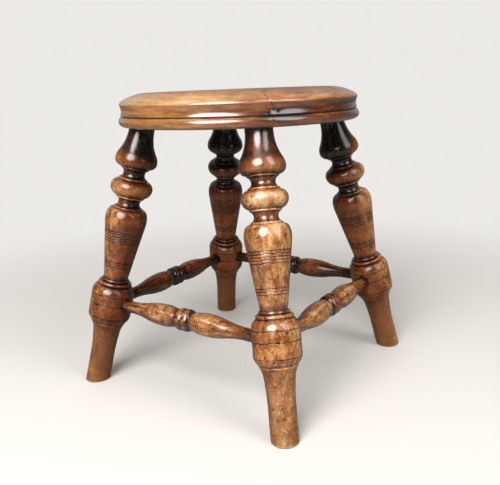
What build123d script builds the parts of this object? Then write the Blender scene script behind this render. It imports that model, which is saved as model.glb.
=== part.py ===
from build123d import *
import math
import os

# A round stool: a moulded seat on four raked, turned legs, tied by four turned stretchers.
# Millimetres and degrees. The origin is on the floor under the middle of the seat, with +Z up,
# and a leg stands towards each corner of the square that the stretchers make.

# Overall sizes
stool_height = 382.5
seat_diameter = 307.0  # over the lip
seat_thickness = 40.5
leg_splay = 14.6  # each leg's axis from the vertical, out towards its corner
leg_inset = 27.8  # from the lip of the seat to a leg's axis, at the underside
stretcher_height = 108.4  # the stretchers' axes above the floor
glue_line = 0.05  # all round a tenon in its socket
socket_floor_gap = 1.0  # beyond the end of a tenon

# Seat edge, from the underside up: a bead, a quirk, a shallow cove and a lip
seat_bead_height = 13.0
seat_bead_overhang = 2.0  # past the lip
seat_quirk_height = 1.4  # its wall stands on the top of the bead
seat_cove_depth = 1.6
seat_cove_inset = 0.8  # of its foot, inside the lip
seat_shoulder_rise = 13.4  # from the lip to the flat of the top
seat_shoulder_width = 36.0
seat_lip_round_width = 3.2  # the tighter round next to the lip
seat_lip_round_height = 4.2

# Leg turning. Lengths run down the axis from the underside of the seat, radii out from it.
leg_tenon_r = 16.3
leg_tenon_length = 26.0
vase_neck = 6.0
vase_length = 45.5  # to its widest part
vase_r = 27.2
vase_hollow_share = 0.75  # of the curve's height, before it turns over into the swell
vase_under = 9.0  # the round below the widest part
fillet_width = 1.7
hollow_length = 12.6
hollow_depth = 4.4
bead_r = 27.3
bead_upper = 10.4
bead_lower = 12.0
bead_edge_r = 18.4
shoulder_r = 27.3
shoulder_crown = 10.0  # above the widest part
shoulder_crown_r = 25.0
shoulder_edge_r = 19.6
shoulder_edge = 3.8  # the tighter round over the crown
shoulder_swell = 10.0  # below the widest part, into the taper
taper_top_r = 26.4
taper_end_r = 15.9

# Barrel of the leg, measured from the stretchers' axes
barrel_r = 28.1
barrel_upper = 26.5
barrel_lower = 25.8
barrel_shoulder = 11.1
barrel_shoulder_top_r = 22.6
barrel_round = 9.8
barrel_round_bulge = 1.0
barrel_foot_r = 22.3
collar_lengths = (4.3, 5.1)  # two rings between the taper and the barrel
collar_radii = (18.3, 22.2)
collar_bulge = 1.6

# Foot, below the barrel
foot_cove = 11.1
foot_neck_r = 18.4
foot_taper = 34.0
foot_r = 16.2
foot_edge = 1.2  # eased where it stands on the floor

# Stretcher turning, measured from its middle
ring_r = 14.2
ring_groove_r = 12.9
ring_half = 10.6  # one of the two beads that make the ring
ring_edge_r = 11.2
ring_crest_share = 0.44  # of the bead's length, out from the groove
ring_neck = 2.4
bulb_r = 14.1
bulb_length = 34.0  # to its widest part
bulb_turn_share = 0.5  # of the way to the plain end, where the round turns into the hollow
stretcher_end_r = 7.8
stretcher_plain = 13.8  # straight length outside the barrel
stretcher_tip_wall = 1.8  # between the two tenons that meet in a leg

# Lines scribed round the turnings with the point of a chisel
scribe_depth = 0.5
scribe_point = 1.0  # from the middle of the three-sided point to its tip
taper_scribes = (6.3, 9.5, 13.1, 16.4, 19.9, 47.8, 51.1, 54.7)  # down from the start of the taper
barrel_scribe = 2.2  # above the stretchers' axes
bulb_scribes = (5.0, 8.0)  # from a bulb's widest part, towards the ring

# What follows from them
underside = stool_height - seat_thickness
rake = math.radians(leg_splay)
leg_circle_r = seat_diameter / 2 - leg_inset  # the legs' axes from the middle, at the underside
leg_reach = underside / math.cos(rake)
barrel_y = -(underside - stretcher_height) / math.cos(rake)
barrel_axis_r = leg_circle_r + (underside - stretcher_height) * math.tan(rake)
stretcher_span = math.sqrt(2) * barrel_axis_r
stretcher_tip_r = stretcher_end_r + stretcher_tip_wall  # from the leg's axis to the tenon's end

corners = {"front_right": -45, "back_right": 45, "back_left": 135, "front_left": 225}
sides = {"right": 0, "back": 90, "left": 180, "front": 270}


def carried_round(plane, angle):
    """The same plane at another corner or side, turned about the upright axis of the stool."""
    return Plane(Rotation(0, 0, angle) * plane.location)


def leg_section(corner):
    """The upright plane through a leg's axis: x outwards, y up the axis, 0 where it enters the seat."""
    upright = Plane(
        origin=(leg_circle_r, 0, underside),
        x_dir=(math.cos(rake), 0, math.sin(rake)),
        z_dir=(0, -1, 0),
    )
    return carried_round(upright, corner)


def stretcher_section(side):
    """The upright plane through a stretcher's axis: x up, y along the axis, 0 at its middle."""
    upright = Plane(origin=(stretcher_span / 2, 0, stretcher_height), x_dir=(0, 0, 1), z_dir=(-1, 0, 0))
    return carried_round(upright, side)


def stretcher_mouths(corner):
    """The planes of a leg's two stretcher sockets, on its axis and facing along each stretcher."""
    middle = (barrel_axis_r, 0, stretcher_height)
    return [carried_round(Plane(origin=middle, z_dir=(-1, turn, 0)), corner) for turn in (-1, 1)]


def ogee(start, end, share):
    """An S of two arcs, along the axis at both ends, that changes hand at that share of the way."""
    start, end = Vector(*start), Vector(*end)
    turning_point = start + (end - start) * share
    along = (0, math.copysign(1, end.Y - start.Y))
    first = TangentArc(start, turning_point, tangent=along)
    TangentArc(turning_point, end, tangent=first % 1)


def bulged(start, end, bulge):
    """An arc that stands out from the line between its ends, or is sunk in it where bulge is negative."""
    middle = (Vector(*start) + Vector(*end)) / 2 + Vector(bulge, 0)
    ThreePointArc(start, middle, end)


def fillet_band(r, top):
    """A narrow plain band between two mouldings. Returns where it ends."""
    Line((r, top), (r, top - fillet_width))
    return top - fillet_width


def upper_turning():
    """From the seat down: tenon, vase, hollow, bead, hollow and shoulder. Returns where the taper begins."""
    vase_edge_r = vase_r - vase_under
    Polyline((0, leg_tenon_length), (leg_tenon_r, leg_tenon_length), (leg_tenon_r, -vase_neck))
    ogee((leg_tenon_r, -vase_neck), (vase_r, -vase_length), vase_hollow_share)
    y = -vase_length - vase_under
    TangentArc((vase_r, -vase_length), (vase_edge_r, y), tangent=(0, -1))

    lower = fillet_band(vase_edge_r, y)
    y = lower - hollow_length
    bulged((vase_edge_r, lower), (bead_edge_r, y), -hollow_depth)

    lower = fillet_band(bead_edge_r, y)
    widest = (bead_r, lower - bead_upper)
    y = widest[1] - bead_lower
    TangentArc(widest, (bead_edge_r, lower), tangent=(0, 1))
    TangentArc(widest, (bead_edge_r, y), tangent=(0, -1))

    lower = fillet_band(bead_edge_r, y)
    y = lower - hollow_length
    bulged((bead_edge_r, lower), (bead_edge_r, y), -hollow_depth)

    lower = fillet_band(bead_edge_r, y)
    Line((bead_edge_r, lower), (shoulder_edge_r, lower))
    crown = (shoulder_crown_r, lower - shoulder_edge)
    widest = (shoulder_r, crown[1] - shoulder_crown)
    swell = TangentArc(widest, crown, tangent=(0, 1))
    TangentArc(crown, (shoulder_edge_r, lower), tangent=swell % 1)
    y = widest[1] - shoulder_swell
    TangentArc(widest, (taper_top_r, y), tangent=(0, -1))
    return y


def barrel_turning(taper_top):
    """From the taper down: the taper, two collars, the barrel and the foot, run on past the floor."""
    y = barrel_y + barrel_upper + sum(collar_lengths)
    Line((taper_top_r, taper_top), (taper_end_r, y))
    inner_r = taper_end_r
    for length, r in zip(collar_lengths, collar_radii):
        edge_r = r - collar_bulge
        Line((inner_r, y), (edge_r, y))
        bulged((edge_r, y), (edge_r, y - length), collar_bulge)
        inner_r = edge_r
        y -= length

    Line((inner_r, y), (barrel_shoulder_top_r, y))
    top = (barrel_r, y - barrel_shoulder)
    TangentArc(top, (barrel_shoulder_top_r, y), tangent=(0, 1))
    y = barrel_y - barrel_lower
    Line(top, (barrel_r, y + barrel_round))
    bulged((barrel_r, y + barrel_round), (barrel_foot_r, y), barrel_round_bulge)

    lower = fillet_band(barrel_foot_r, y)
    neck = (foot_neck_r, lower - foot_cove)
    foot_top = (foot_r, neck[1] - foot_taper)
    taper = TangentArc(foot_top, neck, tangent=(0, 1))
    TangentArc(neck, (barrel_foot_r, lower), tangent=taper % 1)
    below_floor = -leg_reach - 2 * foot_r * math.tan(rake)
    Polyline(foot_top, (foot_r, below_floor), (0, below_floor), (0, leg_tenon_length))


def scribe(lines):
    """The tool's point, sunk into the work at each radius and height along the axis."""
    with Locations(*[(r - scribe_depth + scribe_point, y) for r, y in lines]):
        RegularPolygon(radius=scribe_point, side_count=3, rotation=180)


def leg_scribes(taper_top):
    """Lines on the taper, and on the barrel at its two ends and above its middle."""
    taper_end = barrel_y + barrel_upper + sum(collar_lengths)
    slope = (taper_top_r - taper_end_r) / (taper_top - taper_end)
    on_taper = [(taper_top_r - slope * drop, taper_top - drop) for drop in taper_scribes]
    barrel_top = barrel_y + barrel_upper - barrel_shoulder
    barrel_end = barrel_y - barrel_lower + barrel_round
    return on_taper + [(barrel_r, y) for y in (barrel_top, barrel_y + barrel_scribe, barrel_end)]


def bulb_scribe_lines():
    """Lines on the round of a bulb, whose arc is square to its widest part."""
    rise = bulb_r - ring_edge_r
    run = bulb_length - ring_half - ring_neck
    arc_r = (run**2 + rise**2) / (2 * rise)
    return [(bulb_r - arc_r + math.sqrt(arc_r**2 - back**2), bulb_length - back) for back in bulb_scribes]


def stretcher_half():
    """Half the outline of a stretcher, from the middle of its ring to the end of its tenon."""
    neck_top = ring_half + ring_neck
    plain_start = stretcher_span / 2 - barrel_r - stretcher_plain
    tip = stretcher_span / 2 - stretcher_tip_r
    Line((0, 0), (ring_groove_r, 0))
    ThreePointArc((ring_groove_r, 0), (ring_r, ring_half * ring_crest_share), (ring_edge_r, ring_half))
    Line((ring_edge_r, ring_half), (ring_edge_r, neck_top))
    TangentArc((bulb_r, bulb_length), (ring_edge_r, neck_top), tangent=(0, -1))
    ogee((bulb_r, bulb_length), (stretcher_end_r, plain_start), bulb_turn_share)
    Polyline((stretcher_end_r, plain_start), (stretcher_end_r, tip), (0, tip), (0, 0))


def seat_outline():
    """Half the section of the seat, from its middle out. Heights are above its underside."""
    lip_r = seat_diameter / 2
    lip = seat_thickness - seat_shoulder_rise
    bead_r_outer = lip_r + seat_bead_overhang
    bead_round = seat_bead_height / 2
    cove_r = lip_r - seat_cove_inset
    bead_top = (bead_r_outer - bead_round, seat_bead_height)
    quirk_top = seat_bead_height + seat_quirk_height
    flat_r = lip_r - seat_shoulder_width
    Line((0, 0), (bead_r_outer - bead_round, 0))
    ThreePointArc((bead_r_outer - bead_round, 0), (bead_r_outer, bead_round), bead_top)
    Polyline(bead_top, (bead_top[0], quirk_top), (cove_r, quirk_top))
    bulged((cove_r, quirk_top), (lip_r, lip), -seat_cove_depth)
    crown = (lip_r - seat_lip_round_width, lip + seat_lip_round_height)
    shoulder = TangentArc((flat_r, seat_thickness), crown, tangent=(1, 0))
    TangentArc(crown, (lip_r, lip), tangent=shoulder % 1)
    Polyline((flat_r, seat_thickness), (0, seat_thickness), (0, 0))


def write(builder, name):
    """Labels a finished piece and writes it to its own file."""
    builder.part.label = name
    export_step(builder.part, f"parts/{name}.step")


os.makedirs("parts", exist_ok=True)

# Seat: one round board, with a raked blind socket for each leg
with BuildPart() as seat:
    with BuildSketch(Plane(origin=(0, 0, underside), z_dir=(0, -1, 0), x_dir=(1, 0, 0))):
        with BuildLine():
            seat_outline()
        make_face()
    revolve(axis=Axis.Z)
    below = leg_tenon_r * math.tan(rake) + 1
    for corner in corners.values():
        mouth = leg_section(corner)
        with BuildSketch(Plane(origin=mouth.origin, z_dir=mouth.y_dir).offset(-below)):
            Circle(leg_tenon_r + glue_line)
        extrude(amount=below + leg_tenon_length + socket_floor_gap, mode=Mode.SUBTRACT)
write(seat, "seat")

# Legs: four alike, each with two sockets for its stretchers
for name, corner in corners.items():
    section = leg_section(corner)
    with BuildPart() as leg:
        with BuildSketch(section):
            with BuildLine():
                taper_top = upper_turning()
                barrel_turning(taper_top)
            make_face()
        revolve(axis=Axis(section.origin, section.y_dir))
        with BuildSketch(section):
            scribe(leg_scribes(taper_top))
        revolve(axis=Axis(section.origin, section.y_dir), mode=Mode.SUBTRACT)
        split(bisect_by=Plane.XY, keep=Keep.TOP)
        chamfer(leg.edges().group_by(Axis.Z)[0], length=foot_edge)
        for mouth in stretcher_mouths(corner):
            with BuildSketch(mouth.offset(stretcher_tip_r - socket_floor_gap)):
                Circle(stretcher_end_r + glue_line)
            extrude(amount=barrel_r, mode=Mode.SUBTRACT)
    write(leg, f"leg_{name}")

# Stretchers: four alike, one along each side
for name, side in sides.items():
    section = stretcher_section(side)
    with BuildPart() as stretcher:
        with BuildSketch(section):
            with BuildLine():
                stretcher_half()
            make_face()
            mirror(about=Plane.XZ)
        revolve(axis=Axis(section.origin, section.y_dir))
        with BuildSketch(section):
            scribe(bulb_scribe_lines())
            mirror(about=Plane.XZ)
        revolve(axis=Axis(section.origin, section.y_dir), mode=Mode.SUBTRACT)
    write(stretcher, f"stretcher_{name}")
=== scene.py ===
import itertools
import math

import bpy
import numpy as np
from bpy.props import FloatProperty, FloatVectorProperty, PointerProperty
from mathutils import Matrix, Vector


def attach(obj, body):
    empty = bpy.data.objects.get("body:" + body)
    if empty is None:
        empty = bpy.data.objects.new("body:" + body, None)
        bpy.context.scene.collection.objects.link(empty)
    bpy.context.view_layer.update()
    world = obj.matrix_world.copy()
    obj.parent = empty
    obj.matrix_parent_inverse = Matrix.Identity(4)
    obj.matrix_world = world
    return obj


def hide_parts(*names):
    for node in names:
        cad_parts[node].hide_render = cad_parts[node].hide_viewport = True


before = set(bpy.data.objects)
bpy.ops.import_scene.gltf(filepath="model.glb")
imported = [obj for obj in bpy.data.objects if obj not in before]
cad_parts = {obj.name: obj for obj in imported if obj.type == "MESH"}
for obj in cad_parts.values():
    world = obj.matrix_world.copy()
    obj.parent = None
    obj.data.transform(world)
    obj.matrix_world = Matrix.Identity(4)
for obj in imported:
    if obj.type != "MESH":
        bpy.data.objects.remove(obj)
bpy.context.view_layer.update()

bl_info = {
    "name": "Turned stool",
    "version": (1, 0, 0),
    "blender": (4, 5, 0),
    "location": "3D View > Sidebar > Stool",
    "description": "A round stool with turned legs and stretchers in an old, worn polish",
    "category": "Add Mesh",
}

MM = 0.001
DOWN, UP = (0, 1), (0, -1)  # directions in an outline, as (radius, length along the axis)
SEAT_ANGLES, LEG_ANGLES, STRETCHER_ANGLES = 420, 166, 112  # points round each piece
SIDES = {"stretcher_right": 0, "stretcher_back": 90, "stretcher_left": 180, "stretcher_front": 270}

TAPER_SCRIBES = (6.3, 9.5, 13.1, 16.4, 19.9, 47.8, 51.1, 54.7)  # millimetres down from the taper's top
BARREL_SCRIBE = 2.2 * MM  # above the stretchers' axes
BULB_SCRIBES = (5.0, 8.0)  # millimetres from a bulb's widest part, towards the ring
COLLARS = ((4.3 * MM, 18.3 * MM), (5.1 * MM, 22.2 * MM))  # length and radius of each ring over the barrel

# The tone picks a colour of the polish, from 0 for dirt and painted shade to 1 for the most rubbed wood.
SHADES = dict(dirt_and_shade=0, black_brown=0.14, red_brown=0.31, chestnut=0.49, amber=0.65, tan=0.82, pale=1)

# Tone and wax as (millimetres, value): down a leg from the seat, or out from the middle of a stretcher
LEG_TONES = (
    (0, 0.08), (14, 0.33), (30, 0.47), (42, 0.52), (70, 0.67), (90, 0.84), (130, 0.75),
    (160, 0.68), (198, 0.69), (207, 0.50), (216, 0.59), (226, 0.60), (270, 0.57), (353, 0.66),
)
LEG_WAX = ((90, 0.82), (130, 0.75), (196, 0.70), (199, 0.95), (224, 0.85), (232, 0.45), (353, 0.30))
STRETCHER_TONES = ((0, 0.37), (12, 0.38), (20, 0.62), (40, 0.63), (70, 0.58), (85, 0.46), (100, 0.10))

# Each leg's corner in degrees from +X, its share of the painted inner shade, and what its own wear adds to
# the tone
LEGS = {
    "leg_front_right": (
        -45, 1.0, ((90, 0), (125, -0.03), (200, -0.02), (210, 0.03), (250, 0.02), (275, -0.02))
    ),
    "leg_back_right": (45, 1.0, ((250, 0.02), (275, -0.03))),
    "leg_back_left": (135, 1.0, ((200, 0.04), (210, 0.05), (250, 0.05), (275, -0.02))),
    "leg_front_left": (225, 0.65, ((90, -0.01), (125, -0.14), (200, -0.14), (210, -0.15))),
}

# How far each pattern moves the tone up and down, and how large the blotches and the grain are
SEAT_FINISH = dict(
    blotched=0.40, blotch_size=30 * MM, mottled=0.05, streaks=0.65, grain_width=7 * MM, rings=0.0, pits=0.0
)
LEG_FINISH = dict(
    blotched=0.92, blotch_size=15 * MM, mottled=0.78, streaks=0.22, grain_width=5 * MM, rings=0.14, pits=0.32
)
STRETCHER_FINISH = dict(
    blotched=0.45, blotch_size=15 * MM, mottled=0.70, streaks=1.0, grain_width=4 * MM, rings=0.10, pits=0.22
)

# The camera's place in metres, and its angles in degrees: round from +X, downwards, and about its own axis
CAMERA_PLACE = (0.4656, -0.6603, 0.3884)
CAMERA_LOOK, CAMERA_TILT, CAMERA_ROLL = 124.62, 14.73, -2.22
FACING = -54.8  # from the stool to the camera, in degrees from +X
BACK_WALL = (-0.576, 0.817, 0.0)  # from the stool to the pale wall behind it
LAMP_DISTANCE = 2.0
LAMP_COLOUR, ROOM_COLOUR = (1.0, 0.985, 0.97), (1.0, 0.985, 0.96)
FLOOR_RINGS, FLOOR_ANGLES = (0.6, 2.0, 6.0), 96  # radii of the floor's rings in metres, and points round each


# ---------------- sizes and colours


def length(name, mm, description):
    """A length property, with its default in millimetres."""
    return FloatProperty(name=name, description=description, default=mm * MM, unit="LENGTH")


def degrees(name, value, description):
    """An angle property, with its default in degrees."""
    return FloatProperty(name=name, description=description, default=math.radians(value), subtype="ANGLE")


def tint(name, colour, description):
    """A colour property, scene linear."""
    return FloatVectorProperty(
        name=name, description=description, default=colour, size=3, min=0, max=1, subtype="COLOR"
    )


def cast(name, colour, description):
    """Shares of red, green and blue that change a colour a little."""
    return FloatVectorProperty(name=name, description=description, default=colour, size=3, min=0, max=2)


def share(name, value, description):
    """A plain number from 0 to 1."""
    return FloatProperty(name=name, description=description, default=value, min=0, max=1, subtype="FACTOR")


def amount(name, value, description, least=0):
    """A plain number that isn't below least."""
    return FloatProperty(name=name, description=description, default=value, min=least)


class StoolFrameSizes(bpy.types.PropertyGroup):
    """Where the pieces stand, as the frame has them."""

    underside: length("Seat underside", 342.0, "Height of the seat's underside above the floor")
    leg_circle_r: length("Leg circle", 125.7, "From the middle to a leg's axis, at the seat's underside")
    rake: degrees("Rake", 14.6, "A leg's axis from the vertical, out towards its corner")
    stretcher_height: length("Stretcher height", 108.4, "The stretchers' axes above the floor")


class StoolSeatSizes(bpy.types.PropertyGroup):
    """The seat's moulded edge, from its underside up."""

    lip_r: length("Lip radius", 153.5, "Radius over the lip")
    thickness: length("Thickness", 40.5, "Thickness in the middle")
    bead_height: length("Bead height", 13.0, "Height of the bead at the underside")
    bead_overhang: length("Bead overhang", 2.0, "How far the bead stands past the lip")
    quirk_height: length("Quirk height", 0.8, "Height of the sunk line over the bead")
    quirk_depth: length("Quirk depth", 1.8, "How far the quirk is sunk inside the lip")
    cove_depth: length("Cove depth", 1.6, "How deep the shallow cove is")
    cove_inset: length("Cove inset", 0.8, "The foot of the cove, inside the lip")
    shoulder_rise: length("Shoulder rise", 13.4, "From the lip to the flat of the top")
    shoulder_width: length("Shoulder width", 36.0, "From the lip in to the flat of the top")
    lip_round_width: length("Lip round width", 3.2, "Width of the tighter round at the lip")
    lip_round_height: length("Lip round height", 4.2, "Height of the tighter round at the lip")
    crack_angle: degrees("Crack direction", -44.3, "Direction of the crack from the middle of the seat")
    crack_width: length("Crack width", 0.6, "Width of the crack at the surface")
    crack_depth: length("Crack depth", 0.9, "Depth of the crack")
    knot_turn: degrees("Knot direction", 4.6, "Direction of the knot from that of the crack")
    knot_height: length("Knot height", 18.5, "Height of the knot that the crack ends in")
    knot_r: length("Knot radius", 3.0, "Radius of the knot")
    knot_depth: length("Knot depth", 1.5, "Depth of the knot")


class StoolLegSizes(bpy.types.PropertyGroup):
    """A leg's turning, down its axis from the seat's underside."""

    tenon_r: length("Tenon radius", 16.3, "Radius of the tenon in the seat")
    tenon_length: length("Tenon length", 26.0, "Length of the tenon in the seat")
    neck: length("Neck", 6.0, "Straight length under the seat")
    vase_length: length("Vase length", 45.5, "Down to the vase's widest part")
    vase_r: length("Vase radius", 27.2, "Widest part of the vase")
    vase_hollow: share("Vase hollow", 0.75, "Share of the vase's curve that is hollow")
    vase_under: length("Vase underside", 9.0, "The round below the vase's widest part")
    fillet: length("Fillet", 1.7, "Width of the narrow bands between mouldings")
    fillet_crown: length("Fillet crown", 0.3, "How far those bands are rounded by wear")
    hollow_length: length("Hollow length", 12.6, "Length of each of the two hollows")
    hollow_depth: length("Hollow depth", 4.4, "Depth of each of the two hollows")
    bead_r: length("Bead radius", 27.3, "Widest part of the bead")
    bead_upper: length("Bead top half", 10.4, "Length of the bead above its widest part")
    bead_lower: length("Bead lower half", 12.0, "Length of the bead below its widest part")
    bead_edge_r: length("Bead edge radius", 18.4, "Radius of the fillets on both sides of the bead")
    shoulder_r: length("Shoulder radius", 27.3, "Widest part of the shoulder")
    shoulder_edge_r: length("Shoulder edge radius", 19.6, "Radius of the shoulder's top edge")
    shoulder_edge: length("Shoulder edge", 3.8, "The tighter round over the crown")
    shoulder_crown_r: length("Crown radius", 25.0, "Radius where the tighter round ends")
    shoulder_crown: length("Crown", 10.0, "Length from the crown to the widest part")
    shoulder_swell: length("Swell", 10.0, "Length from the widest part to the taper")
    taper_top_r: length("Taper top radius", 26.4, "Radius at the top of the taper")
    taper_end_r: length("Taper end radius", 15.9, "Radius at the foot of the taper")
    barrel_r: length("Barrel radius", 28.1, "Radius of the barrel")
    barrel_upper: length("Barrel top half", 26.5, "Length of the barrel above the stretchers' axes")
    barrel_lower: length("Barrel lower half", 25.8, "Length of the barrel below the stretchers' axes")
    barrel_shoulder: length("Barrel shoulder", 11.1, "Length of the round at the barrel's top")
    barrel_shoulder_r: length("Barrel shoulder radius", 22.6, "Radius at the barrel's top")
    barrel_round: length("Barrel round", 9.8, "Length of the round at the barrel's foot")
    barrel_bulge: length("Barrel bulge", 1.0, "How far that round stands out from a straight slope")
    barrel_foot_r: length("Barrel foot radius", 22.3, "Radius at the barrel's foot")
    collar_bulge: length("Collar bulge", 1.6, "How far a collar's ring stands out")
    foot_cove: length("Foot cove", 11.1, "Length of the hollow under the barrel")
    foot_neck_r: length("Foot neck radius", 18.4, "Radius at the end of that hollow")
    foot_taper: length("Foot taper", 34.0, "Length of the foot's taper")
    foot_r: length("Foot radius", 16.2, "Radius of the foot on the floor")
    foot_edge: length("Foot edge", 1.2, "The eased edge of the foot")
    socket_depth: length("Socket depth", 1.2, "How deep a stretcher's socket shows round its end")


class StoolStretcherSizes(bpy.types.PropertyGroup):
    """A stretcher's turning, from its middle out."""

    ring_r: length("Ring radius", 14.2, "Widest part of the two beads of the ring")
    ring_groove_r: length("Ring groove radius", 12.9, "Radius of the groove between the two beads")
    ring_half: length("Ring bead length", 10.6, "Length of one bead of the ring")
    ring_crest: share("Ring crest", 0.44, "Share of that length at which the bead is widest")
    ring_edge_r: length("Ring edge radius", 11.2, "Radius beside the ring")
    ring_neck: length("Ring neck", 2.4, "Straight length beside the ring")
    bulb_r: length("Bulb radius", 14.1, "Widest part of a bulb")
    bulb_length: length("Bulb length", 34.0, "From the middle to a bulb's widest part")
    bulb_turn: share("Bulb turn", 0.5, "Share of the way to the plain end at which round turns hollow")
    end_r: length("End radius", 7.8, "Radius of the plain end")
    plain: length("Plain end", 13.8, "Straight length outside the barrel")
    tip_wall: length("Tip wall", 1.8, "Wood between the two tenons that meet in a leg")


class StoolPolish(bpy.types.PropertyGroup):
    """Colours and state of the old polish."""

    # The darkest colour: dirt and old wax in the deepest corners, and painted shade in the sockets and on
    # inner sides
    dirt_and_shade: tint("Dirt", (0.006, 0.0035, 0.0025), "Dirt and old wax in the deepest corners")
    black_brown: tint("Black-brown", (0.022, 0.0064, 0.0016), "The thickest, darkest polish")
    red_brown: tint("Red-brown", (0.085, 0.0190, 0.0038), "Thick stained polish")
    chestnut: tint("Chestnut", (0.188, 0.0600, 0.0150), "Stained polish worn a little")
    amber: tint("Amber", (0.305, 0.138, 0.044), "Polish worn thin")
    tan: tint("Tan", (0.455, 0.258, 0.114), "Wood with hardly any polish left")
    pale: tint("Pale", (0.600, 0.415, 0.235), "The most rubbed edges")
    dry: tint("Dry wood", (0.20, 0.125, 0.065), "Unpolished wood under the seat and on the feet")
    warm: cast("Warm cast", (1.07, 0.955, 0.88), "What the redder patches multiply the colours by")
    cool: cast("Cool cast", (0.93, 1.01, 1.04), "What the more olive patches multiply the colours by")
    # Painted shade: the turnings are darker on the side that faces in under the seat
    inner_shade: share("Grime", 0.46, "How much darker the turnings are on the side that faces in under the seat")
    wax: share("Wax", 1.0, "Weight of the wax coat over the polish")
    scribe_depth: length("Scribe depth", 0.45, "Depth of the scribed lines on the legs")
    scribe_width: length("Scribe half width", 0.36, "Half the width of the scribed lines")
    unevenness: length("Unevenness", 0.11, "How far handling and shrinkage have left the turnings untrue")
    dent_depth: length("Dent depth", 0.5, "Depth of the deepest knocks")


class StoolStage(bpy.types.PropertyGroup):
    """The studio: floor, lamps and camera."""

    floor: tint("Floor", (0.63, 0.61, 0.58), "Colour of the plain floor")
    floor_bounce: tint("Floor bounce", (0.32, 0.30, 0.27), "Colour that the floor throws back onto the stool")
    backdrop: tint("Backdrop", (0.84, 0.82, 0.79), "Colour behind the stool")
    room: amount("Room light", 0.07, "Strength of the light from the room")
    wall: amount("Wall light", 0.38, "Strength of the light from the pale wall")
    above: amount("Light from above", 0.31, "Strength of the light from the ceiling")
    left: amount("Left window", 71.0, "Watts of the left softbox")
    right: amount("Right window", 23.5, "Watts of the right softbox")
    ceiling: amount("Ceiling", 3.5, "Watts of the softbox overhead")
    lens: amount("Lens", 43.37, "Focal length in millimetres", 1)


# ---------------- outlines
# An outline is an array of (radius, length along the axis) in metres. A step is its largest gap.


def eased(run, step):
    """Shares of a run of that length: even steps, and one close to each end, which keeps corners crisp."""
    count = max(1, math.ceil(run / step))
    shares = np.linspace(0, 1, count + 1)
    close = 0.15 * MM / run
    extra = [close, 1 - close] if close < 0.25 / count else []
    return np.unique(np.concatenate([shares, extra]))[:-1]


def line(start, end, step=MM):
    """Points from start towards end: start + t (end - start)."""
    start, end = np.array(start, float), np.array(end, float)
    return start + eased(np.linalg.norm(end - start), step)[:, None] * (end - start)


def about(centre, start, end, turn, step):
    """Points on the circle about centre from start towards end, anticlockwise where turn is positive."""
    first, last = (math.atan2(p[1] - centre[1], p[0] - centre[0]) for p in (start, end))
    swept = (last - first) % math.tau if turn > 0 else -((first - last) % math.tau)
    radius = np.linalg.norm(start - centre)
    angle = first + swept * eased(radius * abs(swept), step)
    return centre + radius * np.stack([np.cos(angle), np.sin(angle)], axis=1)


def arc(start, end, along, step=MM):
    """Points on the arc that leaves start in the direction along and reaches end.
    Its centre lies on the normal n at start, |end - start|^2 / (2 (end - start).n) away."""
    start, end = np.array(start, float), np.array(end, float)
    chord, normal = end - start, np.array([-along[1], along[0]], float)
    away = chord @ chord / (2 * chord @ normal)
    return about(start + away * normal, start, end, away, step)


def arc_into(start, end, along, step=MM):
    """The arc that reaches end in the direction along: the arc that leaves end the other way, reversed."""
    back = arc(end, start, (-along[0], -along[1]), step)
    return np.concatenate([[start], back[:0:-1]])


def two_arcs(start, end, joint, back, steps=(MM, MM)):
    """Two arcs that meet smoothly at joint, a radius and a length on from start. The second leaves end in
    the direction back, and the first leaves joint the way the second comes in: both are drawn backwards."""
    joint = np.array([joint[0], start[1] + joint[1]])
    second = arc(end, joint, back, steps[1])
    first = arc(joint, start, joint - second[-1], steps[0])
    return np.concatenate([[start], first[:0:-1], [joint], second[:0:-1]])


def bowed(start, end, bulge, step=MM):
    """Points on the circle through start, end and the middle between them moved out by bulge."""
    start, end = np.array(start, float), np.array(end, float)
    middle = (start + end) / 2 + (bulge, 0)
    sides = 2 * np.array([middle - start, end - start])
    centre = np.linalg.solve(sides, [middle @ middle - start @ start, end @ end - start @ start])
    turn = np.cross(middle - start, end - middle)
    return about(centre, start, end, turn, step)


def ogee(start, end, turn_share, along, step=MM):
    """Two arcs that lie along the axis at both ends and change hand at that share of the straight line."""
    start, end = np.array(start, float), np.array(end, float)
    turning = start + (end - start) * turn_share
    return np.concatenate([arc(start, turning, along, step), arc_into(turning, end, along, step)])


def scribed(outline, lines, half_width, depth):
    """A V cut round the outline at each length: three rows, the middle one sunk, for those between them."""
    for at in lines:
        r, s = outline.T
        cut_s = at + half_width * np.array([-1, 0, 1])
        cut_r = np.interp(cut_s, s, r) - depth * np.array([0, 1, 0])
        kept = outline[(s <= at - half_width) | (s >= at + half_width)]
        rows = np.concatenate([kept, np.stack([cut_r, cut_s], axis=1)])
        outline = rows[np.argsort(rows[:, 1], kind="stable")]
    return outline


def band(start, end, crown):
    """A fillet, rounded a little by wear."""
    return bowed(start, end, crown, 0.3 * MM)


def moulded(start, *rows):
    """A chain of mouldings from start. A row gives the kind of run, the radius that it reaches, how much
    further along it ends, and what else that kind takes. Returns the points, the middles of the fillets
    and the last end."""
    points, fillets, at = [], [], start
    for kind, r, run, *rest in rows:
        end = (r, at[1] + run)
        points.append(kind(at, end, *rest))
        if kind is band:
            fillets.append(at[1] + run / 2)
        at = end
    return np.concatenate(points), fillets, at


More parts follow.
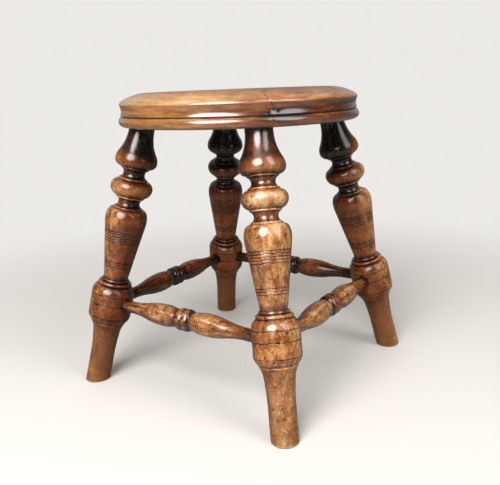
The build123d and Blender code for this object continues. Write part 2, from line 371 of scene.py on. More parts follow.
def vase_to_shoulder(leg):
    """A leg from its tenon to its shoulder: the points, the fillets' middles and the top of the taper."""
    start = (leg.tenon_r, leg.neck)
    widest = (leg.vase_r, leg.vase_length)
    edge_r = leg.vase_r - leg.vase_under
    hollow = (bowed, leg.bead_edge_r, leg.hollow_length, -leg.hollow_depth)
    fillet = (band, leg.bead_edge_r, leg.fillet, leg.fillet_crown)
    crown = (leg.shoulder_crown_r, leg.shoulder_edge)
    points, fillets, taper_top = moulded(
        widest,
        (arc, edge_r, leg.vase_under, DOWN),
        (band, edge_r, leg.fillet, leg.fillet_crown),
        hollow,
        fillet,
        (arc_into, leg.bead_r, leg.bead_upper, DOWN),
        (arc, leg.bead_edge_r, leg.bead_lower, DOWN),
        fillet,
        hollow,
        fillet,
        (line, leg.shoulder_edge_r, 0),
        (two_arcs, leg.shoulder_r, leg.shoulder_edge + leg.shoulder_crown, crown, UP),
        (arc, leg.taper_top_r, leg.shoulder_swell, DOWN),
    )
    tenon = line((leg.tenon_r, -leg.tenon_length), start, 2 * MM)
    vase = ogee(start, widest, leg.vase_hollow, DOWN)
    return np.concatenate([tenon, vase, points]), fillets, taper_top


def leg_outline(leg, polish, reach, stretcher_s):
    """A leg from the end of its tenon to the floor. Returns its outline, the lengths of its scribed lines
    and of its fillets' middles, and where its foot stops tapering."""
    upper, fillets, taper_top = vase_to_shoulder(leg)
    collars = []
    for tall, r in COLLARS:
        edge_r = r - leg.collar_bulge
        collars += [(line, edge_r, 0), (bowed, edge_r, tall, leg.collar_bulge, 0.5 * MM)]
    taper_end = (leg.taper_end_r, stretcher_s - leg.barrel_upper - sum(tall for tall, _ in COLLARS))
    barrel, _, barrel_top = moulded(
        taper_end,
        *collars,
        (line, leg.barrel_shoulder_r, 0),
        (arc_into, leg.barrel_r, leg.barrel_shoulder, DOWN, 0.5 * MM),
    )
    barrel_end = (leg.barrel_r, stretcher_s + leg.barrel_lower - leg.barrel_round)
    foot, foot_fillets, foot_end = moulded(
        barrel_end,
        (bowed, leg.barrel_foot_r, leg.barrel_round, leg.barrel_bulge),
        (band, leg.barrel_foot_r, leg.fillet, leg.fillet_crown),
        (two_arcs, leg.foot_r, leg.foot_cove + leg.foot_taper, (leg.foot_neck_r, leg.foot_cove), UP),
    )
    edge, sole = (leg.foot_r, reach - leg.foot_edge), (leg.foot_r - leg.foot_edge, reach)
    runs = [
        upper,
        line(taper_top, taper_end),
        barrel,
        line(barrel_top, barrel_end, 0.45 * MM),
        foot,
        line(foot_end, edge),
        line(edge, sole),
        line(sole, (2 * MM, reach), 3 * MM),
    ]
    cuts = [taper_top[1] + drop * MM for drop in TAPER_SCRIBES]
    cuts += [barrel_top[1], stretcher_s - BARREL_SCRIBE, barrel_end[1]]
    outline = scribed(np.concatenate(runs), cuts, polish.scribe_width, polish.scribe_depth)
    return outline, cuts, fillets + foot_fillets, foot_end[1]


def stretcher_outline(sizes, polish, span, barrel_r):
    """A stretcher from tip to tip, and the lengths of its scribed lines. Half of it is drawn from the
    middle out, and the other half mirrored."""
    neck = sizes.ring_half + sizes.ring_neck
    plain = span / 2 - barrel_r - sizes.plain
    tip = span / 2 - sizes.end_r - sizes.tip_wall
    crest = (sizes.ring_r, sizes.ring_half * sizes.ring_crest)
    step = 0.7 * MM
    half = np.concatenate(
        [
            arc_into((sizes.ring_groove_r, 0), crest, DOWN, step),
            arc(crest, (sizes.ring_edge_r, sizes.ring_half), DOWN, step),
            line((sizes.ring_edge_r, sizes.ring_half), (sizes.ring_edge_r, neck), step),
            arc_into((sizes.ring_edge_r, neck), (sizes.bulb_r, sizes.bulb_length), DOWN, step),
            ogee((sizes.bulb_r, sizes.bulb_length), (sizes.end_r, plain), sizes.bulb_turn, DOWN),
            line((sizes.end_r, plain), (sizes.end_r, tip)),
            [(sizes.end_r, tip), (sizes.end_r / 2, tip)],
        ]
    )
    cuts = [sizes.bulb_length - back * MM for back in BULB_SCRIBES]
    half = scribed(half, cuts, polish.scribe_width, polish.scribe_depth * 0.8)
    return np.concatenate([half[:0:-1] * (1, -1), half]), cuts


def seat_outline(seat):
    """The seat's section from the middle of its underside, round the edge and in over the top."""
    lip = seat.thickness - seat.shoulder_rise
    outer = seat.lip_r + seat.bead_overhang
    half = seat.bead_height / 2
    quirk_r = seat.lip_r - seat.quirk_depth
    quirk_top = seat.bead_height + seat.quirk_height
    cove = (seat.lip_r - seat.cove_inset, quirk_top)
    bead_top = (outer - half, seat.bead_height)
    crown = (seat.lip_r - seat.lip_round_width, seat.lip_round_height)
    flat = (seat.lip_r - seat.shoulder_width, seat.thickness)
    return np.concatenate(
        [
            line((4 * MM, 0), (outer - half, 0), 3 * MM),
            bowed((outer - half, 0), bead_top, half, 0.7 * MM),
            line(bead_top, (quirk_r, seat.bead_height), 0.8 * MM),
            line((quirk_r, seat.bead_height), (quirk_r, quirk_top), 0.5 * MM),
            line((quirk_r, quirk_top), cove, 0.8 * MM),
            bowed(cove, (seat.lip_r, lip), -seat.cove_depth, 0.6 * MM),
            two_arcs((seat.lip_r, lip), flat, crown, (1, 0), (0.5 * MM, 0.8 * MM)),
            line(flat, (4 * MM, seat.thickness), 2.5 * MM),
        ]
    )


# ---------------- surfaces


def noise(points, size, seed):
    """Smooth noise from -1 to 1: a sine hash at a lattice's corners, blended by 3t^2 - 2t^3 on each axis."""
    place = points / size + 17.3 * seed
    cell = np.floor(place)
    t = place - cell
    t = t * t * (3 - 2 * t)
    total = np.zeros(points.shape[:-1])
    for corner in itertools.product((0, 1), repeat=3):
        hashed = np.sin((cell + corner) @ np.array([12.9898, 78.233, 37.719])) * 43758.5453
        weight = np.prod(np.where(corner, t, 1 - t), axis=-1)
        total += np.modf(hashed)[0] * weight
    return total


def spread(count, centres=(), half_width=0.0, closeness=0.0):
    """Angles round a turning: equal steps of the running total of a density, higher near the centres."""
    fine = np.linspace(-math.pi, math.pi, 7201)
    density = np.ones(len(fine))
    for centre in centres:
        away = np.abs((fine - centre + math.pi) % math.tau - math.pi)
        density += closeness * (away < half_width)
    total = np.concatenate([[0], np.cumsum(density[:-1])])
    return np.interp(np.arange(count) / count * total[-1], total, fine)


def smoothstep(value, low, high):
    """0 below low, 1 above high and 3t^2 - 2t^3 between them."""
    t = np.clip((value - low) / (high - low), 0, 1)
    return t * t * (3 - 2 * t)


def near(distance, width):
    """1 where the distance is 0, falling away as exp(-(distance / width)^2)."""
    return np.exp(-((distance / width) ** 2))


def along_axis(s, table):
    """The values of a table of (millimetres, value) at each length, in straight lines between its rows."""
    return np.interp(s / MM, *zip(*table))


def moved(tone, *moves):
    """The tone after each (weight, where) has moved it by weight times where."""
    return tone + sum(weight * where for weight, where in moves)


def cavity(outline, reach, depth):
    """How sheltered each row of an outline is: its depth under the highest row within reach, over depth."""
    r, s = outline.T
    close = np.abs(s[:, None] - s[None, :]) < reach
    return np.clip((np.where(close, r[None, :], 0).max(axis=1) - r) / depth, 0, 1)[:, None]


def proud(outline, reach, height):
    """How far each row of an outline stands out past the mean of its neighbours within reach, over height."""
    r, s = outline.T
    close = np.abs(s[:, None] - s[None, :]) < reach
    weight = close * np.gradient(s)[None, :].clip(0.05 * MM)
    return np.clip((r - (weight * r).sum(axis=1) / weight.sum(axis=1)) / height, 0, 1)[:, None]


def lined(s, lines, half_width):
    """1 on each of the lines round a turning, falling away on both sides."""
    return near(np.abs(s - np.array(lines)).min(axis=-1, keepdims=True), half_width)


def knocks(points, count, size, depth, seed):
    """Depth of small round dents at random places: the sum of depth exp(-d^2 / size^2) over them. A point
    is as likely to be hit as it is far from the axis, so the dents are as thick near it as elsewhere."""
    chance = np.random.default_rng(seed)
    flat = points.reshape(-1, 3)
    share_hit = np.linalg.norm(flat[:, :2], axis=1)
    total = np.zeros(len(flat))
    for centre in flat[chance.choice(len(flat), count, p=share_hit / share_hit.sum())]:
        wide, deep = size * chance.uniform(0.5, 1.5), depth * chance.uniform(0.3, 1)
        total += deep * np.exp(-((flat - centre) ** 2).sum(axis=1) / wide**2)
    return np.minimum(total, depth).reshape(points.shape[:-1])


def turned(outline, angles):
    """The grid of a turning in its own axes: (r cos a, r sin a, s) for every row (r, s) and every angle a."""
    r, s = outline[:, 0, None], outline[:, 1, None]
    return np.stack([r * np.cos(angles), r * np.sin(angles), s + 0 * angles], axis=-1)


def handled(grid, polish, seed, dents, dent_size, dent_seed):
    """A turning after years of use: drawn in towards its axis by smooth noise and by dents."""
    wander = (noise(grid, 22 * MM, seed) + 0.5 * noise(grid, 6 * MM, seed + 1)) / 3 + 0.5
    r = np.linalg.norm(grid[..., :2], axis=-1)
    grid = grid * np.stack([1 - polish.unevenness * wander / r] * 2 + [np.ones_like(r)], axis=-1)
    dented = knocks(grid, dents, dent_size, polish.dent_depth, dent_seed)
    r = np.maximum(np.linalg.norm(grid[..., :2], axis=-1), MM)
    grid[..., :2] *= (1 - dented / r)[..., None]
    return grid


def placed(name, data):
    """A new object in the scene."""
    made = bpy.data.objects.new(name, data)
    bpy.context.scene.collection.objects.link(made)
    return made


def skin(name, rows, first, last, values, material, slot):
    """A closed mesh over a grid of points: rows that wrap round, and a fan to one point at each end.
    Each value is one number or vector for every point of the grid, and becomes an attribute."""
    count, around = rows.shape[:2]
    points = np.concatenate([[first], rows.reshape(-1, 3), [last]])
    index = 1 + np.arange(count * around).reshape(count, around)
    beside = np.roll(index, -1, axis=1)
    quads = np.stack([index[:-1], beside[:-1], beside[1:], index[1:]], axis=-1).reshape(-1, 4)
    start = np.stack([np.zeros(around, int), beside[0], index[0]], axis=-1)
    end = np.stack([np.full(around, len(points) - 1), index[-1], beside[-1]], axis=-1)
    a, b, c = (points[quads[:, k]] for k in (0, 1, 2))
    if np.einsum("ij,ij->i", a, np.cross(b, c)).sum() < 0:
        quads, start, end = quads[:, ::-1], start[:, ::-1], end[:, ::-1]
    loops = np.concatenate([quads.ravel(), start.ravel(), end.ravel()]).astype(np.int32)
    starts = np.concatenate([np.arange(len(quads)) * 4, len(quads) * 4 + np.arange(2 * around) * 3])

    mesh = bpy.data.meshes.new(name)
    mesh.vertices.add(len(points))
    mesh.vertices.foreach_set("co", points.astype(np.float32).ravel())
    mesh.loops.add(len(loops))
    mesh.loops.foreach_set("vertex_index", loops)
    mesh.polygons.add(len(starts))
    mesh.polygons.foreach_set("loop_start", starts.astype(np.int32))
    mesh.polygons.foreach_set("use_smooth", np.ones(len(starts), bool))
    mesh.update(calc_edges=True)
    mesh.validate()
    for key, value in values.items():
        shape = value.shape[2:]
        flat = np.concatenate([value[:1].mean(axis=1), value.reshape(-1, *shape), value[-1:].mean(axis=1)])
        kind, field = ("FLOAT_VECTOR", "vector") if shape else ("FLOAT", "value")
        mesh.attributes.new(key, kind, "POINT").data.foreach_set(field, flat.astype(np.float32).ravel())
    mesh.materials.append(material)
    piece = placed(name, mesh)
    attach(piece, "root")
    return piece


def turn_about(angle, points):
    """Points turned about the upright axis."""
    c, s = math.cos(angle), math.sin(angle)
    return points @ np.array([[c, s, 0], [-s, c, 0], [0, 0, 1]])


def stand(name, grid, tips, axes, origin, direction, values, material, slot):
    """Stands a turning in its node's place: its own axes and origin, turned about the upright axis."""
    angle = math.radians(direction)
    world = turn_about(angle, grid @ axes + origin)
    ends = turn_about(angle, np.array([[0, 0, tip] for tip in tips]) @ axes + origin)
    piece = skin("turned_" + name, world, *ends, values, material, slot)
    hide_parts(name)


# ---------------- polish
# The polish reads five attributes of a piece: grain, the point in the wood; tone; patchy, how much the
# patterns move the tone; wax, the weight of the coat; and dry, where there is no polish.


def node(tree, kind, inputs=None, **settings):
    """A shader node with its settings and inputs, each a value or the socket that feeds it."""
    made = tree.nodes.new("ShaderNode" + kind)
    for key, value in settings.items():
        setattr(made, key, value)
    for key, value in (inputs or {}).items():
        if isinstance(value, bpy.types.NodeSocket):
            tree.links.new(value, made.inputs[key])
        else:
            made.inputs[key].default_value = value
    return made


def blank(owner):
    """The emptied node tree of a new material or world."""
    owner.use_nodes = True
    owner.node_tree.nodes.clear()
    return owner.node_tree


def calc(tree, operation, *values, clamp=False):
    """A Math node."""
    return node(tree, "Math", dict(enumerate(values)), operation=operation, use_clamp=clamp).outputs[0]


def vector(tree, operation, a, b=(0, 0, 0)):
    """A Vector Math node."""
    made = node(tree, "VectorMath", {0: a, 1: b}, operation=operation)
    return made.outputs["Value" if operation in ("LENGTH", "DOT_PRODUCT") else "Vector"]


def between(tree, value, low, high, to_low=0.0, to_high=1.0):
    """A clamped, smooth Map Range."""
    inputs = {"Value": value, "From Min": low, "From Max": high, "To Min": to_low, "To Max": to_high}
    return node(tree, "MapRange", inputs, interpolation_type="SMOOTHSTEP").outputs["Result"]


def blend(tree, factor, a, b):
    """A colour mix of a and b."""
    colours = {k: (*v, 1) if not isinstance(v, bpy.types.NodeSocket) else v for k, v in ((6, a), (7, b))}
    return node(tree, "Mix", {0: factor, **colours}, data_type="RGBA", clamp_factor=True).outputs[2]


def attribute(tree, name, output="Fac"):
    """The piece's own attribute."""
    return node(tree, "Attribute", attribute_name=name).outputs[output]


def speckle(tree, place, across, along, detail, roughness):
    """Noise with that many patches to the metre across and along the piece's own grain."""
    scaled = vector(tree, "MULTIPLY", place, (across, across, along))
    inputs = {"Vector": scaled, "Scale": 1.0, "Detail": detail, "Roughness": roughness}
    return node(tree, "TexNoise", inputs).outputs["Fac"]


def shaded(tree, polish, tone, hue):
    """The colour that each tone picks from the polish, a little warmer or cooler by hue."""
    ramp = node(tree, "ValToRGB", {"Fac": tone})
    stops = ramp.color_ramp.elements
    for key, at in SHADES.items():
        stop = stops[0] if at == 0 else stops[-1] if at == 1 else stops.new(at)
        stop.color = (*getattr(polish, key), 1)
    warmth = blend(tree, between(tree, hue, 0.40, 0.60), polish.warm, polish.cool)
    return vector(tree, "MULTIPLY", ramp.outputs["Color"], warmth)


def old_polish(name, polish, offset, blotched, blotch_size, mottled, streaks, grain_width, rings, pits):
    """Stained wood under an old polish: seven colours from dirt and painted shade to rubbed wood, picked by
    the piece's tone.
    Blotches, mottling, streaks along the grain, rings left by turning, and pits move the tone up and down,
    and offset shifts them all, so that no two pieces are alike."""
    material = bpy.data.materials.new(name)
    tree = blank(material)
    grain = vector(tree, "ADD", attribute(tree, "grain", "Vector"), (offset, offset * 0.7, offset * 1.3))
    dry = attribute(tree, "dry")
    wax = calc(tree, "MULTIPLY", attribute(tree, "wax"), polish.wax)

    blotch = speckle(tree, grain, 1 / blotch_size, 0.7 / blotch_size, 3, 0.5)
    hue = speckle(tree, grain, 1.4 / blotch_size, 0.9 / blotch_size, 2, 0.6)
    figure = speckle(tree, grain, 1 / grain_width, 0.06 / grain_width, 3, 0.55)
    mottle = speckle(tree, grain, 170, 120, 3, 0.55)
    fleck = speckle(tree, grain, 480, 330, 2, 0.5)
    fibre = speckle(tree, grain, 900, 30, 3, 0.6)
    ring = speckle(tree, grain, 14, 900, 2, 0.5)
    rubbed = between(tree, fleck, 0.58, 0.70)
    pit = between(tree, speckle(tree, grain, 230, 170, 2, 0.5), 0.62, 0.70)

    moves = (
        (blotch, blotched),
        (mottle, 0.75 * mottled),
        (fleck, 0.42 * mottled),
        (figure, streaks),
        (fibre, 0.5 * streaks),
        (ring, rings),
    )
    patches = calc(tree, "MULTIPLY_ADD", pit, -pits, calc(tree, "MULTIPLY", rubbed, 0.5 * pits))
    for pattern, weight in moves:
        patches = calc(tree, "ADD", patches, calc(tree, "MULTIPLY_ADD", pattern, weight, -weight / 2))
    tone = calc(tree, "MULTIPLY_ADD", patches, attribute(tree, "patchy"), attribute(tree, "tone"))
    stained = shaded(tree, polish, tone, hue)
    dried = blend(tree, between(tree, fibre, 0.3, 0.7), polish.dry, polish.chestnut)

    rough = calc(tree, "MULTIPLY_ADD", mottle, 0.30, 0.12)
    rough = calc(tree, "MULTIPLY_ADD", dry, 0.4, rough, clamp=True)
    relief = ((mottle, 0.7), (fleck, 0.35), (pit, -0.35), (ring, 0.10), (fibre, 0.12))
    height = 0.0
    for pattern, weight in relief:
        height = calc(tree, "MULTIPLY_ADD", pattern, weight, height)
    under_wax = node(tree, "Bump", {"Height": height, "Strength": 0.40 * mottled, "Distance": 0.6 * MM})
    on_wax = node(tree, "Bump", {"Height": height, "Strength": 0.09 * mottled, "Distance": 0.6 * MM})
    shader = node(
        tree,
        "BsdfPrincipled",
        {
            "Base Color": blend(tree, dry, stained, dried),
            "Roughness": rough,
            "IOR": 1.45,
            "Normal": under_wax.outputs["Normal"],
            "Specular IOR Level": 0.15,
            "Coat Weight": wax,
            "Coat Roughness": 0.19,
            "Coat IOR": 1.8,
            "Coat Normal": on_wax.outputs["Normal"],
        },
    )
    node(tree, "OutputMaterial", {"Surface": shader.outputs["BSDF"]})
    return material


def floor_paint(stage):
    """Plain matt floor that fades away from the stool, as a studio's curved backdrop does."""
    material = bpy.data.materials.new("floor_paint")
    tree = blank(material)
    away = vector(tree, "LENGTH", node(tree, "TexCoord").outputs["Object"])
    seen = node(tree, "LightPath").outputs["Is Camera Ray"]
    fade = calc(tree, "MULTIPLY", between(tree, away, 0.28, 1.05), seen)
    colour = blend(tree, seen, stage.floor_bounce, stage.floor)
    paint = node(tree, "BsdfPrincipled", {"Base Color": colour, "Roughness": 0.6})
    beyond = node(tree, "Emission", {"Color": (*stage.backdrop, 1), "Strength": 1.0})
    mixed = node(tree, "MixShader", {0: fade, 1: paint.outputs["BSDF"], 2: beyond.outputs[0]})
    node(tree, "OutputMaterial", {"Surface": mixed.outputs[0]})
    return material


# ---------------- seat


def crack_and_knot(seat, grid, along, across):
    """How deep each point lies in the shrinkage crack and in the knot at its foot, from 0 to 1. Along and
    across are measured from the middle of the seat in the crack's direction. The crack wanders, leans over
    by a tenth of its length, and turns to the knot as it comes down, by a table of (height, degrees)."""
    z = grid[..., 2]
    lip = seat.thickness - seat.shoulder_rise
    turns = ((seat.knot_height / MM, math.degrees(seat.knot_turn)), (lip / MM, 2.9), (33, 1.2), (39, 0))
    drift = seat.lip_r * np.radians(along_axis(z, turns))
    wander = 0.8 * MM * noise(np.stack([along, 0 * along, z], axis=-1), 9 * MM, 3)
    off = across + wander - 0.10 * (seat.lip_r - along) - drift
    split = smoothstep(along, seat.lip_r - 20 * MM, seat.lip_r - 12 * MM)
    split = split * smoothstep(z, seat.knot_height - 1.5 * MM, seat.knot_height + 1.5 * MM)
    knot_angle = seat.crack_angle + seat.knot_turn
    knot = seat.lip_r * np.array([math.cos(knot_angle), math.sin(knot_angle)])
    gap = np.hypot(np.hypot(grid[..., 0] - knot[0], grid[..., 1] - knot[1]), 1.2 * (z - seat.knot_height))
    return split * near(off, seat.crack_width / 2), near(gap, seat.knot_r)


def seat_tone(seat, outline, angles, turn, over, edge):
    """The tone of the seat before the crack and the knot darken it: lighter on the shoulder, lighter at the
    lip with wear and painted highlight, darker in the quirk and the cove with painted shade, darker on one
    side with painted shade, and darker in an old stain."""
    r, z = outline[:, 0, None], outline[:, 1, None]
    lip = seat.thickness - seat.shoulder_rise
    in_quirk = near(z - seat.bead_height - 0.6 * seat.quirk_height, 0.7 * MM) * (r > seat.lip_r - 8 * MM)
    in_cove = smoothstep(z, 13 * MM, 15 * MM) * (1 - smoothstep(z, lip - 2 * MM, lip + MM))
    stain = near(turn - math.radians(9), math.radians(9)) * near(z - seat.bead_height, 6 * MM)
    shady = smoothstep(np.degrees(angles), -85, -30) * (1 - smoothstep(np.degrees(angles), -10, 180))
    # Painted shade in the quirk, the cove and on one side; a painted highlight, partly wear, along the lip
    return moved(
        0.63,
        (0.13, over),
        (-0.15, over * (1 - edge)),
        (0.08, near(z - lip, 1.6 * MM)),
        (-0.08, in_cove),
        (-0.32, in_quirk),
        (-0.27, shady),
        (0.09, shady * over),
        (-0.45, stain),
    )


class STOOL_OT_seat(bpy.types.Operator):
    """Makes the round seat with its moulded edge, its shrinkage crack and its knot"""

    bl_idname = "stool.seat"
    bl_label = "Seat"

    def execute(self, context):
        scene = context.scene
        seat, polish = scene.stool_seat, scene.stool_polish
        outline = seat_outline(seat)
        angles = spread(SEAT_ANGLES, [seat.crack_angle], math.radians(8), 5)
        true = turned(outline, angles)
        r, z = outline[:, 0, None], outline[:, 1, None]
        lip = seat.thickness - seat.shoulder_rise
        edge = smoothstep(r, seat.lip_r - seat.shoulder_width, seat.lip_r - 4 * MM)
        over = smoothstep(z, lip - MM, lip + 3 * MM)
        under = np.broadcast_to((z < 0.01 * MM) & (r < seat.lip_r - 3 * MM), true.shape[:2]).astype(float)

        turn = (angles - seat.crack_angle + math.pi) % math.tau - math.pi
        along, across = r * np.cos(turn), r * np.sin(turn)
        crack, knot = crack_and_knot(seat, true, along, across)
        sunk = seat.crack_depth * crack + seat.knot_depth * knot
        sunk = sunk + knocks(true, 90, 2.5 * MM, 0.7 * polish.dent_depth, 11)
        sunk = sunk + polish.unevenness * (0.5 + 0.5 * noise(true, 30 * MM, 5))
        inwards = np.stack([np.cos(angles), np.sin(angles), 0 * angles], axis=-1) * edge[..., None]
        inwards = inwards + np.array([0, 0, 1.0]) * (over * (1 - 0.5 * edge))[..., None]
        grid = true - inwards * (sunk * (1 - under))[..., None]

        tone = seat_tone(seat, outline, angles, turn, over, edge)
        values = {
            "grain": np.stack([0.35 * across, 2.2 * true[..., 2], 0.3 * along], axis=-1),
            "tone": moved(tone, (-0.7, crack), (-0.6, knot)),
            "patchy": np.ones(true.shape[:2]),
            "wax": 1 - 0.8 * (1 - edge) * over + 0 * angles,
            "dry": under,
        }
        material = old_polish("seat_polish", polish, 0.3, **SEAT_FINISH)
        lift = np.array([0, 0, scene.stool_frame.underside])
        first, last = lift, lift + (0, 0, seat.thickness - 0.2 * MM)
        piece = skin("seat_board", grid + lift, first, last, values, material, "seat_wood")
        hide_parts("seat")
        return {"FINISHED"}


# ---------------- legs and stretchers


def leg_tone(outline, cuts, fillets):
    """The tone down a leg: the table's, darker in corners and scribed lines, lighter on fillets and crests.
    The darkening in the corners, dirt and painted shade, is thinner from the collars down, and thinnest from
    the barrel's foot down. The lighter fillets are partly worn polish and partly painted highlight."""
    s = outline[:, 1, None]
    # darker in the hollows: dirt and painted shade
    dirt_and_shade = cavity(outline, 6 * MM, 5 * MM) * (1 - 0.7 * smoothstep(s, 250 * MM, 260 * MM))
    dirt_and_shade = dirt_and_shade * (1 - 0.45 * smoothstep(s, 200 * MM, 206 * MM))
    # lighter fillets: partly worn polish, partly painted highlight
    worn = lined(s, fillets, 0.8 * MM)
    return moved(
        along_axis(s, LEG_TONES),
        (-0.40, dirt_and_shade * (1 - worn)),
        (0.08, worn),
        (0.16, proud(outline, 2.5 * MM, 0.6 * MM)),
        (-0.48, lined(s, cuts, 0.5 * MM)),
    )


def socketed(grid, tone, axis, stretcher_s, depth, end_r):
    """The grid and its tone with a socket for a stretcher's end, sunk along axis, its rim pressed in, and
    painted shadow darkening the socket and its rim.
    """
    offset = grid - np.array([0, 0, stretcher_s])
    along = offset @ axis
    across = np.linalg.norm(offset - along[..., None] * axis, axis=-1)
    hole = (along > 0) * smoothstep(end_r + 0.1 * MM - across, 0, 0.3 * MM)
    rim = (along > 0) * near(across - end_r - 0.8 * MM, 0.8 * MM)
    grid = grid - axis * (depth * hole + 0.15 * MM * rim)[..., None]
    # painted shadow in the socket and on its rim
    return grid, moved(tone, (-0.5, hole), (-0.08, rim))


class STOOL_OT_legs(bpy.types.Operator):
    """Turns the four raked legs, each with its mouldings, scribed lines and two stretcher sockets"""

    bl_idname = "stool.legs"
    bl_label = "Legs"

    def execute(self, context):
        scene = context.scene
        place, leg, polish = scene.stool_frame, scene.stool_leg, scene.stool_polish
        reach = place.underside / math.cos(place.rake)
        stretcher_s = (place.underside - place.stretcher_height) / math.cos(place.rake)
        outline, cuts, fillets, foot_s = leg_outline(leg, polish, reach, stretcher_s)
        # own axes: x outwards, y round the stool and z down the leg
        down = np.array([math.sin(place.rake), 0, -math.cos(place.rake)])
        outwards = np.array([math.cos(place.rake), 0, math.sin(place.rake)])
        axes = np.array([outwards, [0, 1, 0], down])
        origin = np.array([place.leg_circle_r, 0, place.underside])
        towards = [axes @ np.array([-1, side, 0]) / math.sqrt(2) for side in (-1, 1)]
        angles = spread(LEG_ANGLES, [math.atan2(e[1], e[0]) for e in towards], math.radians(23), 3.3)

        true = turned(outline, angles)
        foot = np.clip((true[..., 2] - foot_s) / (reach - foot_s), 0, 1)
        true[..., 2] += foot * true[..., 0] * math.tan(place.rake)
        s = outline[:, 1, None]
        bare = smoothstep(reach - s, 1.5 * MM, 8 * MM) * smoothstep(s, -2 * MM, 3 * MM)
        inner = smoothstep(-np.cos(angles), -0.95, 0.2)
        # Painted shade on the side that faces in under the seat, strongest up under it
        inner_shade = polish.inner_shade * inner * (1 - 0.52 * smoothstep(s, 110 * MM, 170 * MM))
        dry = 0.34 * smoothstep(s, 262 * MM, 290 * MM) + 0.65 * smoothstep(s, reach - 0.5 * MM, reach)
        end_r = scene.stool_stretcher.end_r
        values = {
            "grain": true,
            "tone": leg_tone(outline, cuts, fillets),
            "patchy": (1 - 0.6 * inner) * (0.5 + 0.5 * smoothstep(s, 50 * MM, 90 * MM)),
            "wax": along_axis(s, LEG_WAX) * (1 - 0.65 * inner),
            "dry": np.clip(dry + (s < -MM) + 0 * angles, 0, 1),
        }
        for seed, (name, (corner, inner_shade_share, wear)) in enumerate(LEGS.items()):
            grid = handled(true, polish, 3 * seed + 1, 70, 2.2 * MM, seed + 21)
            grid = true + (grid - true) * bare[..., None]
            tone = values["tone"] + along_axis(s, wear) - inner_shade_share * inner_shade
            for axis in towards:
                grid, tone = socketed(grid, tone, axis, stretcher_s, leg.socket_depth, end_r)
            material = old_polish(name + "_polish", polish, 0.11 * (seed + 1), **LEG_FINISH)
            tips = (-leg.tenon_length, reach)
            stand(name, grid, tips, axes, origin, corner, {**values, "tone": tone}, material, "leg_wood")
        return {"FINISHED"}


class STOOL_OT_stretchers(bpy.types.Operator):
    """Turns the four stretchers, each with two bulbs and a ring"""

    bl_idname = "stool.stretchers"
    bl_label = "Stretchers"

    def execute(self, context):
        scene = context.scene
        place, sizes, polish = scene.stool_frame, scene.stool_stretcher, scene.stool_polish
        barrel_axis_r = place.leg_circle_r + (place.underside - place.stretcher_height) * math.tan(place.rake)
        span = math.sqrt(2) * barrel_axis_r
        tip = span / 2 - sizes.end_r - sizes.tip_wall
        outline, cuts = stretcher_outline(sizes, polish, span, scene.stool_leg.barrel_r)
        # own axes: x up, y in towards the middle and z along the stretcher
        axes = np.array([[0, 0, 1], [-1, 0, 0], [0, 1, 0]], float)
        origin = np.array([span / 2, 0, place.stretcher_height])
        angles = spread(STRETCHER_ANGLES)

        true = turned(outline, angles)
        s = np.abs(outline[:, 1, None])
        inner = smoothstep(np.sin(angles), -0.8, 0.6)
        tone = moved(
            along_axis(s, STRETCHER_TONES),
            # darker in the hollows: dirt and painted shade
            (-0.45, cavity(outline, 3 * MM, 2.5 * MM)),
            (-0.45, lined(s, cuts, 0.5 * MM)),
            (0.15, proud(outline, 2.5 * MM, 0.5 * MM)),
            # painted light and shade: lighter on top, darker underneath
            (0.12, np.cos(angles)),
            # painted shade on the side that faces in
            (-0.62 * polish.inner_shade, inner),
        )
        values = {
            "grain": true,
            "tone": tone,
            "patchy": 1 - 0.4 * inner + 0 * s,
            "wax": 0.8 - 0.5 * inner + 0 * s,
            "dry": smoothstep(s, tip - 10 * MM, tip - 8 * MM) + 0 * angles,
        }
        for seed, (name, side) in enumerate(SIDES.items()):
            grid = handled(true, polish, 3 * seed + 41, 40, 1.8 * MM, seed + 61)
            material = old_polish(name + "_polish", polish, 0.09 * (seed + 6), **STRETCHER_FINISH)
            stand(name, grid, (-tip, tip), axes, origin, side, values, material, "stretcher_wood")
        return {"FINISHED"}


# ---------------- stage


def lay_floor(stage):
    """A flat disc of rings round the middle, a hair under the feet."""
    angle = np.linspace(0, math.tau, FLOOR_ANGLES + 1)[:-1]
    ring = np.stack([np.cos(angle), np.sin(angle), 0 * angle], axis=1)
    points = np.concatenate([[(0, 0, 0)], *(r * ring for r in FLOOR_RINGS)]) - (0, 0, 0.2 * MM)
    index = 1 + np.arange(len(FLOOR_RINGS) * FLOOR_ANGLES).reshape(-1, FLOOR_ANGLES)
    beside = np.roll(index, -1, axis=1)
    faces = np.stack([0 * index[0], index[0], beside[0]], axis=-1).tolist()
    faces += np.stack([index[:-1], index[1:], beside[1:], beside[:-1]], axis=-1).reshape(-1, 4).tolist()
    mesh = bpy.data.meshes.new("floor")
    mesh.from_pydata(points.tolist(), [], faces)
    mesh.materials.append(floor_paint(stage))
    floor = placed("floor", mesh)


def light_room(stage):
    """Light from all round, stronger from the pale wall and from above. The camera sees the backdrop."""
    world = bpy.data.worlds.new("room")
    tree = blank(world)
    seen = node(tree, "LightPath").outputs["Is Camera Ray"]
    place = node(tree, "TexCoord").outputs["Generated"]
    wallwards = vector(tree, "DOT_PRODUCT", place, BACK_WALL)
    upwards = vector(tree, "DOT_PRODUCT", place, (0, 0, 1))
    from_wall = between(tree, wallwards, 0.2, 0.95, stage.room, stage.wall)
    strength = calc(tree, "ADD", from_wall, between(tree, upwards, 0.45, 0.95, 0.0, stage.above))
    room = node(tree, "Background", {"Color": (*ROOM_COLOUR, 1), "Strength": strength})
    backdrop = node(tree, "Background", {"Color": (*stage.backdrop, 1), "Strength": 1.0})
    mixed = node(tree, "MixShader", {0: seen, 1: room.outputs[0], 2: backdrop.outputs[0]})
    node(tree, "OutputWorld", {"Surface": mixed.outputs[0]})
    return world


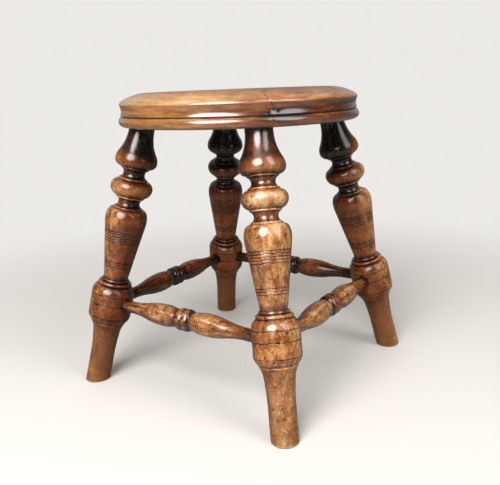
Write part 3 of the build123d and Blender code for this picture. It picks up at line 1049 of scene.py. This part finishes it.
def hang_lamps(stage):
    """Soft elliptical lamps: watts, degrees round from the camera and degrees up, and width and height."""
    target = Vector((0, 0, 0.2))
    lamps = (
        ("left_window", stage.left, -24, 36, (1.45, 1.7)),
        ("right_window", stage.right, 48, 36, (1.0, 2.3)),
        ("ceiling", stage.ceiling, -35, 68, (0.9, 0.9)),
    )
    for name, watts, turn, elevation, size in lamps:
        lamp = bpy.data.lights.new(name, "AREA")
        lamp.shape = "ELLIPSE"
        lamp.size, lamp.size_y = size
        lamp.energy = watts
        lamp.color = LAMP_COLOUR
        holder = placed(name, lamp)
        azimuth, rise = math.radians(FACING + turn), math.radians(elevation)
        flat = Vector((math.cos(azimuth), math.sin(azimuth), 0))
        holder.location = target + LAMP_DISTANCE * (math.cos(rise) * flat + Vector((0, 0, math.sin(rise))))
        holder.rotation_euler = (target - holder.location).to_track_quat("-Z", "Y").to_euler()
        holder.visible_camera = False


def place_camera(stage):
    """The camera, turned so that its own axes are its right side, its top and backwards."""
    camera = bpy.data.cameras.new("camera")
    camera.lens, camera.sensor_width = stage.lens, 36.0
    camera.clip_start, camera.clip_end = 0.01, 50
    holder = placed("camera", camera)
    look, tilt, roll = (math.radians(angle) for angle in (CAMERA_LOOK, CAMERA_TILT, CAMERA_ROLL))
    forward = Vector((math.cos(look) * math.cos(tilt), math.sin(look) * math.cos(tilt), -math.sin(tilt)))
    right = Vector((math.sin(look), -math.cos(look), 0))
    up = right.cross(forward)
    side = math.cos(roll) * right + math.sin(roll) * up
    top = math.cos(roll) * up - math.sin(roll) * right
    turn = Matrix((side, top, -forward)).transposed()
    holder.matrix_world = Matrix.Translation(CAMERA_PLACE) @ turn.to_4x4()
    return holder


class STOOL_OT_stage(bpy.types.Operator):
    """Sets the plain floor, the soft light and the camera"""

    bl_idname = "stool.stage"
    bl_label = "Stage"

    def execute(self, context):
        scene = context.scene
        stage = scene.stool_stage
        scene.view_settings.view_transform = "Standard"
        lay_floor(stage)
        scene.world = light_room(stage)
        hang_lamps(stage)
        scene.camera = place_camera(stage)
        return {"FINISHED"}


# ---------------- add-on


class VIEW3D_PT_stool(bpy.types.Panel):
    """Sizes, colours and pieces of the stool"""

    bl_label = "Turned stool"
    bl_space_type = "VIEW_3D"
    bl_region_type = "UI"
    bl_category = "Stool"

    def draw(self, context):
        for key, (group, operator) in GROUPS.items():
            box = self.layout.box()
            if operator:
                box.operator(operator.bl_idname)
            for name in group.__annotations__:
                box.prop(getattr(context.scene, key), name)


# Each group of sizes or colours, with the operator that makes its pieces, if it has one
GROUPS = {
    "stool_seat": (StoolSeatSizes, STOOL_OT_seat),
    "stool_leg": (StoolLegSizes, STOOL_OT_legs),
    "stool_stretcher": (StoolStretcherSizes, STOOL_OT_stretchers),
    "stool_stage": (StoolStage, STOOL_OT_stage),
    "stool_polish": (StoolPolish, None),
    "stool_frame": (StoolFrameSizes, None),
}
CLASSES = (
    *(group for group, _ in GROUPS.values()),
    *(operator for _, operator in GROUPS.values() if operator),
    VIEW3D_PT_stool,
)


def register():
    for made in CLASSES:
        bpy.utils.register_class(made)
    for key, (group, _) in GROUPS.items():
        setattr(bpy.types.Scene, key, PointerProperty(type=group))


def unregister():
    for key in GROUPS:
        delattr(bpy.types.Scene, key)
    for made in reversed(CLASSES):
        bpy.utils.unregister_class(made)


def main():
    """Makes the stool and its stage."""
    register()
    bpy.ops.stool.seat()
    bpy.ops.stool.legs()
    bpy.ops.stool.stretchers()
    bpy.ops.stool.stage()


if __name__ == "__main__":
    main()
